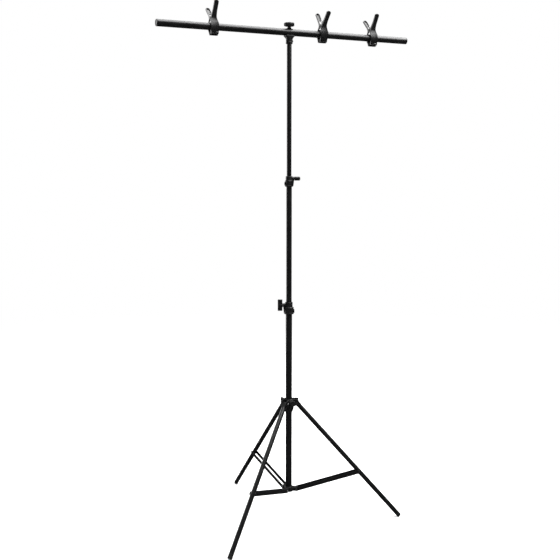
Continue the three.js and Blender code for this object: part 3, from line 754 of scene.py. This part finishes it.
def crossbar():
    low, high = box_mm("crossbar")
    radius = (high.z - low.z) / 2
    place = Matrix.Translation(BAR) @ Z_TO_X
    mesh = tube_mesh("crossbar", radius, radius - 1.2, low.x - BAR.x, high.x - BAR.x)
    piece("crossbar_drawn", mesh, PAINT, HEAD, place, ["crossbar"])
    end = box_mm("crossbar_cap_right")[1].x - BAR.x
    cap = turned(fillet([
        (0, end - 18), (radius - 1.6, end - 18), (radius - 1.6, end - 2.8), (radius, end - 2.7, 0.3),
        (radius, end, 1.1), (7.4, end, 0.5), (6.8, end - 0.8, 0.5), (0, end - 0.8),
    ], 0.5, closed=False), ROUND, closed=False)
    cap_mesh = finish_mesh("crossbar_cap", cap, 40)
    for side, turn in (("left", math.pi), ("right", 0)):
        node = f"crossbar_cap_{side}"
        place = Matrix.Translation(BAR) @ turn_z(turn) @ Z_TO_X
        piece(f"{node}_moulded", cap_mesh, PLASTIC, HEAD, place, [node])


def superellipse(half_x, half_y, power, count=96):
    """Points of a rounded rectangle that becomes an ellipse as power comes down to 2."""
    points = []
    for step in range(count):
        angle = 2 * math.pi * step / count
        c, s = math.cos(angle), math.sin(angle)
        r = (abs(c) ** power + abs(s) ** power) ** (-1 / power)
        points.append((half_x * r * c, half_y * r * s))
    return points


def skin(bm, rows):
    """Faces between neighbouring rings of points."""
    for here, there in zip(rows, rows[1:]):
        count = len(here)
        for k in range(count):
            bm.faces.new((here[k], here[(k + 1) % count], there[(k + 1) % count], there[k]))


def bar_saddle():
    """A sleeve that widens smoothly into a cradle for the crossbar, with a set screw in the sleeve."""
    low, high = (v.z for v in box_mm("bar_saddle"))
    half = box_mm("bar_saddle")[1] - middle("bar_saddle")
    sleeve, bore = 11.5, column_part("top_tube")[0] + 0.2
    flare_from, flare_to = low + 12.5, low + 23.5
    throat = sleeve - 0.5
    rows = [
        (low, sleeve - 0.9, sleeve - 0.9, 2), (low + 0.4, sleeve - 0.2, sleeve - 0.2, 2),
        (low + 1, sleeve, sleeve, 2), (low + 5, sleeve, sleeve, 2), (low + 5.5, throat, throat, 2),
        (flare_from, throat, throat, 2),
    ]
    for step in range(1, 15):
        t = step / 14
        rows.append((
            flare_from + (flare_to - flare_from) * t, throat + (half.x - throat) * t**2.6,
            throat + (half.y - throat) * t**1.2, 2 + 3.5 * t**1.5,
        ))
    rows += [(high - 1, half.x, half.y, 5.5), (high - 0.3, half.x - 0.25, half.y - 0.25, 5.5),
             (high, half.x - 0.9, half.y - 0.9, 5.5)]
    bm = bmesh.new()
    rings = [
        [bm.verts.new((x, y, z)) for x, y in superellipse(a, b, power)] for z, a, b, power in rows
    ]
    skin(bm, rings)
    bm.faces.new(rings[0][::-1])
    bm.faces.new(rings[-1])
    seat = moved(turned([(0, -40), (11.15, -40), (11.15, 40), (0, 40)], 96, closed=False),
                 slide_z(BAR.z) @ Z_TO_X)
    socket = turned([(0, low - 5), (bore, low - 5), (bore, low + 14), (0, low + 14)], ROUND, closed=False)
    cutters = bpy.data.objects.new("cutters", finish_mesh("cutters", together(seat, socket)))
    bpy.context.scene.collection.objects.link(cutters)
    carved = baked(
        finish_mesh("bar_saddle_cast", bm),
        ("BOOLEAN", {"operation": "DIFFERENCE", "object": cutters}),
        ("REMESH", {"mode": "VOXEL", "voxel_size": 0.45 * MM, "use_smooth_shade": True}),
        ("SMOOTH", {"factor": 0.5, "iterations": 3}),
    )
    bpy.data.objects.remove(cutters)
    carved.shade_smooth()
    piece("bar_saddle_cast", carved, PLASTIC, HEAD, at_column(), ["bar_saddle"])
    screw_row = [(0, 10), (2.6, 10), (2.6, 13), (1.3, 13), (1.3, 12), (0, 12)]
    screw = turned(fillet(screw_row, 0.25, 2, closed=False), 36, closed=False)
    place = at_column(low + 8.5) @ turn_z(math.radians(-20)) @ Z_TO_X
    mesh = finish_mesh("set_screw", screw)
    piece("bar_saddle_set_screw", mesh, BLACKENED, HEAD, place, ())


def curved_washer():
    """A thin plate bent to the crossbar's curve, under the round knob."""
    bm = bmesh.new()
    rows = []
    inner = 11.05
    for i in range(15):
        x = -13 + 26 * i / 14
        across = 38 * math.sqrt(max(0.0, 1 - (abs(x) / 13.6) ** 6))
        row = []
        for r in (inner, inner + 1.1):
            angles = [math.radians(90 - across + 2 * across * k / 12) for k in range(13)]
            ring = [(x, r * math.cos(a), r * math.sin(a)) for a in angles]
            row += ring if r == inner else ring[::-1]
        rows.append([bm.verts.new(p) for p in row])
    skin(bm, rows)
    bm.faces.new(rows[0])
    bm.faces.new(rows[-1][::-1])
    mesh = finish_mesh("crossbar_washer", bm, 40)
    piece("crossbar_washer", mesh, BLACKENED, HEAD, Matrix.Translation(BAR), ())


def bar_knob():
    low, high = (v.z for v in box_mm("bar_knob"))
    under = high - 12.5
    low += 1.0
    profile = [
        (0, low, 0), (0.4, low, 0), (0.42, low + 0.5, 0), (0.36, low + 3, 0), (0.325, under - 3, 0),
        (0.33, under - 1.4, 0), (0.42, under - 0.2, 0), (0.7, under + 0.1, 0.3), (0.88, under + 0.6, 0.9),
        (0.965, under + 1.6, 1), (1, under + 3.4, 1), (1, under + 7.4, 1), (0.985, under + 9.2, 1),
        (0.93, under + 10.7, 0.9), (0.82, under + 11.6, 0.6), (0.66, under + 12.1, 0.25),
        (0.48, under + 12.2, 0), (0.46, under + 11.7, 0), (0.44, under + 11.7, 0), (0.3, under + 12.2, 0),
        (0, under + 12.5, 0),
    ]
    mesh = finish_mesh("bar_knob_lobes", lobed(17.6, 1.9, 7, profile, 168), 40)
    piece("bar_knob_lobes", mesh, PLASTIC, "head_knob", at_column(), ["bar_knob"])


# ---- spring clamps ----------------------------------------------------------------

# Each is drawn upright with the crossbar's axis as its origin.
CLAMP_PIN_Z = 28
JAW_PIN = (5.6, -21.5)  # y and z of the pin that a pad hangs on

# The outer line of a lever seen along the crossbar, from the handle's tip to the jaw's end.
LEVER_LINE = [
    (44.6, 71.8), (42.6, 67.6), (34.2, 57.3), (26, 47.2), (18.2, 37.6), (13, 30.2), (11.7, 25),
    (12.8, 17.5),
    (15.2, 9), (16, 0), (14.3, -9), (10.4, -17.5), (9.2, -25),
]
HALF_WIDTHS = ((79, 6.6), (68, 7.2), (42, 7.2), (28, 8.9), (9, 13.8), (-6, 13.8), (-26, 12.4))
WEB = 2.2
RAIL = 2.1


def between(table, value):
    """Linear interpolation in (position, result) rows, highest position first."""
    for (p0, r0), (p1, r1) in zip(table, table[1:]):
        if value >= p1:
            t = min(1.0, max(0.0, (p0 - value) / (p0 - p1)))
            return r0 + (r1 - r0) * t
    return table[-1][1]


def smooth_step(value, low, high):
    t = min(1.0, max(0.0, (value - low) / (high - low)))
    return t * t * (3 - 2 * t)


def lever_mesh(name, cheek, windows):
    """A lever moulded as a web between two rails: a channel handle with a round end, a waist, cheeks
    round the pivot and a wide jaw with rails on its outside. windows are (high, low) along Z."""
    line = spline([Vector(p) for p in LEVER_LINE], 7)
    travelled = [0.0]
    for a, b in zip(line, line[1:]):
        travelled.append(travelled[-1] + (b - a).length)
    bm = bmesh.new()
    rows = []
    tip_round = 7.5
    for i, point in enumerate(line):
        tangent = (line[min(i + 1, len(line) - 1)] - line[max(i - 1, 0)]).normalized()
        inward = Vector((tangent.y, -tangent.x))
        if inward.x > 0 and point.y > 10 or inward.dot(point) > 0 and point.y <= 10:
            inward = -inward
        z = point.y
        near_tip = max(0.0, 1 - travelled[i] / tip_round)
        half = between(HALF_WIDTHS, z) * math.sqrt(max(0.03, 1 - near_tip**2.4))
        jaw = 1 - smooth_step(z, 2, 20)
        web_out = 0.45 * (1 - jaw) * smooth_step(travelled[i], 3.5, 8) + 1.1 * jaw
        web_in = web_out + WEB
        waist = smooth_step(z, 18, 30) * (1 - smooth_step(z, 34, 50))
        depth = (5.6 + 1.6 * waist) * (1 - jaw) + (web_in + 0.5) * jaw
        web_in += (depth - web_in) * (1 - smooth_step(travelled[i], 2.2, 3.4))
        rail = min(RAIL, half * 0.6)
        corners = [
            (-half, 0), (-half + rail, 0), (-half + rail, web_out), (half - rail, web_out),
            (half - rail, 0), (half, 0), (half, depth), (half - rail, depth), (half - rail, web_in),
            (-half + rail, web_in), (-half + rail, depth), (-half, depth),
        ]
        rows.append([bm.verts.new((x, *(point + inward * n))) for x, n in corners])
    count = 12

    def is_open(i):
        z = (line[i].y + line[i + 1].y) / 2
        return any(low < z < high for high, low in windows)

    for i, (here, there) in enumerate(zip(rows, rows[1:])):
        for k in range(count):
            if k in (2, 8) and is_open(i):
                continue
            bm.faces.new((here[k], here[(k + 1) % count], there[(k + 1) % count], there[k]))
        if is_open(i):
            # the rails' faces inside the window
            bm.faces.new((here[2], there[2], there[9], here[9]))
            bm.faces.new((here[8], there[8], there[3], here[3]))
        closes = i + 1 < len(rows) - 1 and is_open(i) != is_open(i + 1)
        if closes:
            bm.faces.new((there[2], there[3], there[8], there[9]))
    for row, order in ((rows[0], 1), (rows[-1], -1)):
        for quad in ((0, 1, 10, 11), (1, 2, 9, 10), (2, 3, 8, 9), (3, 4, 7, 8), (4, 5, 6, 7)):
            bm.faces.new([row[k] for k in quad][::order])
    bmesh.ops.recalc_face_normals(bm, faces=bm.faces)
    soften = {
        "width": 0.4 * MM, "segments": 3, "limit_method": "ANGLE", "angle_limit": math.radians(40),
    }
    rails = baked(finish_mesh(f"{name}_rails", bm), ("BEVEL", soften))
    whole = bmesh.new()
    whole.from_mesh(rails)
    moved(whole, Matrix.Scale(1 / MM, 4))

    inner_face, outer_face = cheek
    shape = [Vector(p) for p in arc((0, CLAMP_PIN_Z), 6.3, 98, 262, 22)]
    shape += [Vector((9.6, CLAMP_PIN_Z - 9.5)), Vector((9.6, CLAMP_PIN_Z + 4.6))]
    parts = [whole]
    for sign in (-1, 1):
        faces = sorted((sign * inner_face, sign * outer_face))
        parts.append(moved(slab(shape, *faces, 0.3, 2), XY_TO_YZ))
    pin = moved(turned([(0, -11), (1.2, -11), (1.2, 11), (0, 11)], 24, closed=False),
                Matrix.Translation((0, *JAW_PIN)) @ Z_TO_X)
    parts.append(pin)
    return finish_mesh(name, together(*parts), 34)


def pad_mesh():
    """A jaw pad: a ribbed rubber face, a lip at the foot and a lug that hangs on the jaw's pin."""
    face, back = 0.8, 2.8
    ribs = []
    edge = [(back, -26.8), (back + 1.6, -26.9), (back + 1.6, -25.9), (back, -25.4), (back, -17.2)]
    steps = 5
    for k in range(steps):
        top = -17.2 - k * (9.6 / steps)
        ribs += [(face + 0.35, top), (face, top - 0.5), (face, top - 1.4), (face + 0.35, top - 1.9)]
    outline = [Vector(p) for p in edge + ribs]
    plate = moved(slab(outline, -12.5, 12.5, 0.3, 2), XY_TO_YZ)
    root = [(back - 0.5, -18.6), (back - 0.5, -24.4)]
    lug = [Vector(p) for p in [*arc(JAW_PIN, 2.4, -90, 90, 12), *root]]
    lugs = [moved(slab(lug, x - 1.6, x + 1.6, 0.3, 2), XY_TO_YZ) for x in (-4.6, 4.6)]
    return finish_mesh("jaw_pad", together(plate, *lugs), 34)


def spring_meshes():
    """The coil round the pin, and one straight tail that lies in a handle."""
    turns, pitch, radius, wire = 4.0, 1.9, 3.6, 0.75
    per_turn = 24
    coil = []
    for k in range(int(turns * per_turn) + 1):
        angle = 2 * math.pi * k / per_turn
        along = -turns * pitch / 2 + pitch * k / per_turn
        coil.append(Vector((along, radius * math.cos(angle), radius * math.sin(angle))))
    bends = [(0, 3.6, -1), (0, 4.6, 2.2), (0, 9, 8.4), (0, 20.5, 23)]
    tail = spline([Vector(p) for p in bends], 8)
    return finish_mesh("spring_coil", swept(coil, wire)), finish_mesh("spring_tail", swept(tail, wire))


def spring_clamp(name, meshes):
    pivot = joint_point(f"clamp_{name}_front_open")
    offset = pivot - BAR
    lean = math.atan2(-offset.y, offset.z)
    place = Matrix.Translation((pivot.x, BAR.y, BAR.z)) @ Matrix.Rotation(lean, 4, "X")
    if not meshes:
        slot = (-18.4, -23.4)
        meshes["back"] = lever_mesh("back_lever", (7.1, 8.9), ((45.5, 32.5), (26.5, 17), slot))
        meshes["front"] = lever_mesh("front_lever", (5.0, 6.8), (slot,))
        meshes["pad"] = pad_mesh()
        meshes["coil"], meshes["tail"] = spring_meshes()
        meshes["pin"] = rivet_mesh("clamp_pin", 9.3, 3.6, 1.3, 2.0)
    clamp = f"clamp_{name}"
    for side, spin, tail_x in (("back", Matrix.Identity(4), 3.0), ("front", turn_z(math.pi), -3.0)):
        body = f"{clamp}_{side}"
        here = place @ spin
        node = f"{body}_lever"
        piece(f"{node}_moulded", meshes[side], CLAMP_PLASTIC, body, here, [node])
        node = f"{body}_pad"
        piece(f"{node}_ribbed", meshes["pad"], RUBBER, f"{body}_jaw_pad", here, [node])
        tail_place = place @ Matrix.Translation((tail_x, 0, CLAMP_PIN_Z)) @ spin
        piece(f"{body}_spring_tail", meshes["tail"], STEEL, body, tail_place, ())
    at_pin = place @ slide_z(CLAMP_PIN_Z)
    node = f"{clamp}_spring"
    piece(f"{node}_coil", meshes["coil"], STEEL, clamp, at_pin, [node])
    node = f"{clamp}_pin"
    piece(f"{node}_rivet", meshes["pin"], BLACKENED, clamp, at_pin @ Z_TO_X, [node])


# ---- hidden CAD parts -------------------------------------------------------------


def carried_over():
    """CAD parts that stay as they are, inside the tubes and the saddle."""
    for node, material in (
        ("middle_tube_bush", PLASTIC), ("top_tube_bush", PLASTIC), ("saddle_stud", STEEL),
    ):
        slots = frame["nodes"][node].data.materials
        slots.clear()
        slots.append(material)


# ---- stage, light and camera ------------------------------------------------------


FLOOR_RADIUS = 7.0
FLOOR_DROP = 0.0005  # below the feet, so the two don't share a face


def pale_floor():
    """A pale floor that fades into the white surround."""
    bpy.ops.mesh.primitive_circle_add(
        vertices=96, radius=FLOOR_RADIUS, fill_type="NGON", location=(0, 0, -FLOOR_DROP)
    )
    floor = bpy.context.object
    floor.name = "floor"
    floor.visible_glossy = False
    material = bpy.data.materials.new("pale_floor")
    material.use_nodes = True
    tree = material.node_tree
    shader = tree.nodes["Principled BSDF"]
    shader.inputs["Roughness"].default_value = 0.9
    shader.inputs["Specular IOR Level"].default_value = 0.0
    place = tree.nodes.new("ShaderNodeTexCoord")
    length = tree.nodes.new("ShaderNodeVectorMath")
    length.operation = "LENGTH"
    fade = tree.nodes.new("ShaderNodeMapRange")
    fade.interpolation_type = "SMOOTHSTEP"
    for key, value in (("From Min", 1.2), ("From Max", 4.5), ("To Min", 0.0), ("To Max", 1.0)):
        fade.inputs[key].default_value = value
    mottle = tree.nodes.new("ShaderNodeTexNoise")
    mottle.inputs["Scale"].default_value = 3.0
    tone = tree.nodes.new("ShaderNodeMix")
    tone.data_type = "RGBA"
    tone.inputs["A"].default_value = (0.93, 0.93, 0.93, 1)
    tone.inputs["B"].default_value = (0.95, 0.95, 0.95, 1)
    clear = tree.nodes.new("ShaderNodeBsdfTransparent")
    mix = tree.nodes.new("ShaderNodeMixShader")
    links = tree.links
    links.new(place.outputs["Object"], length.inputs[0])
    links.new(length.outputs["Value"], fade.inputs["Value"])
    links.new(place.outputs["Object"], mottle.inputs["Vector"])
    links.new(mottle.outputs["Fac"], tone.inputs["Factor"])
    links.new(tone.outputs["Result"], shader.inputs["Base Color"])
    links.new(fade.outputs["Result"], mix.inputs["Fac"])
    links.new(shader.outputs["BSDF"], mix.inputs[1])
    links.new(clear.outputs["BSDF"], mix.inputs[2])
    links.new(mix.outputs["Shader"], tree.nodes["Material Output"].inputs["Surface"])
    floor.data.materials.append(material)


def white_surround():
    """White behind the object and for soft fill. Gloss sees a dim studio, so black stays black."""
    world = bpy.data.worlds.new("studio")
    bpy.context.scene.world = world
    world.use_nodes = True
    tree = world.node_tree
    background = tree.nodes["Background"]
    rays = tree.nodes.new("ShaderNodeLightPath")
    tone = tree.nodes.new("ShaderNodeMix")
    tone.data_type = "RGBA"
    tone.inputs["A"].default_value = (1.0, 1.0, 1.0, 1)
    tone.inputs["B"].default_value = (0.03, 0.03, 0.031, 1)
    tree.links.new(rays.outputs["Is Glossy Ray"], tone.inputs["Factor"])
    tree.links.new(tone.outputs["Result"], background.inputs["Color"])
    background.inputs["Strength"].default_value = 1.0


def softbox(name, place, target, width, height, radiance):
    """A rectangular lamp that looks at a point. The camera doesn't see it."""
    data = bpy.data.lights.new(name, "AREA")
    data.shape = "RECTANGLE"
    data.size, data.size_y = width, height
    data.energy = radiance * math.pi * width * height
    lamp = bpy.data.objects.new(name, data)
    bpy.context.scene.collection.objects.link(lamp)
    lamp.location = place
    lamp.rotation_euler = (Vector(target) - Vector(place)).to_track_quat("-Z", "Y").to_euler()
    lamp.visible_camera = False


# name, place, height that it looks at on the column, width, height, radiance
SOFTBOXES = (
    ("left_softbox", (-1.4, 2.6, 1.4), 1.1, 2.0, 2.6, 3.4),
    ("top_softbox", (1.0, -0.3, 3.6), 1.67, 3.2, 3.2, 7.5),
    ("right_softbox", (2.6, 0.9, 1.2), 1.0, 0.6, 2.2, 0.7),
    ("front_softbox", (-1.6, -3.2, 2.6), 1.0, 0.9, 0.9, 0.5),
)
LOOK_Y = -0.08  # where the column stands, as near as the lamps need it


def lights():
    for name, place, look_z, width, height, radiance in SOFTBOXES:
        softbox(name, place, (0, LOOK_Y, look_z), width, height, radiance)


LENS_MM = 56.07
SENSOR_MM = 36.0
CAMERA_FROM_COLUMN = (-1.2882, -2.6611, 1.2165)
CAMERA_FORWARD = (0.4231, 0.8975, -0.1247)


def camera():
    """The camera stands between the tripod and the crossbar in height, and looks slightly down."""
    data = bpy.data.cameras.new("camera")
    data.lens = LENS_MM
    data.sensor_width = SENSOR_MM
    made = bpy.data.objects.new("camera", data)
    bpy.context.scene.collection.objects.link(made)
    axis = Vector((COLUMN.x * MM, COLUMN.y * MM, 0))
    made.location = axis + Vector(CAMERA_FROM_COLUMN)
    made.rotation_euler = Vector(CAMERA_FORWARD).to_track_quat("-Z", "Y").to_euler()
    bpy.context.scene.camera = made


# ---- the whole scene --------------------------------------------------------------

camera()
column_tubes()
collar("lower_collar", "base", "lower_lock_knob_turn", "bottom_tube")
collar("upper_collar", "middle_section", "upper_lock_knob_turn", "middle_tube")
wing_knob("lower_collar_knob", "lower_lock_knob", "lower_lock_knob_turn", True)
wing_knob("upper_collar_knob", "upper_lock_knob", "upper_lock_knob_turn", False)
leg_collar()
leg_collar_knob()
brace_hub()
leg_meshes, brace_meshes, clamp_meshes = {}, {}, {}
for leg_name in LEG_NAMES:
    leg(leg_name, leg_meshes)
    braces(leg_name, brace_meshes)
crossbar()
bar_saddle()
curved_washer()
bar_knob()
for clamp_name in ("left", "middle", "right"):
    spring_clamp(clamp_name, clamp_meshes)
carried_over()
pale_floor()
white_surround()
lights()

scene = bpy.context.scene
scene.view_settings.view_transform = "Standard"
scene.view_settings.look = "None"
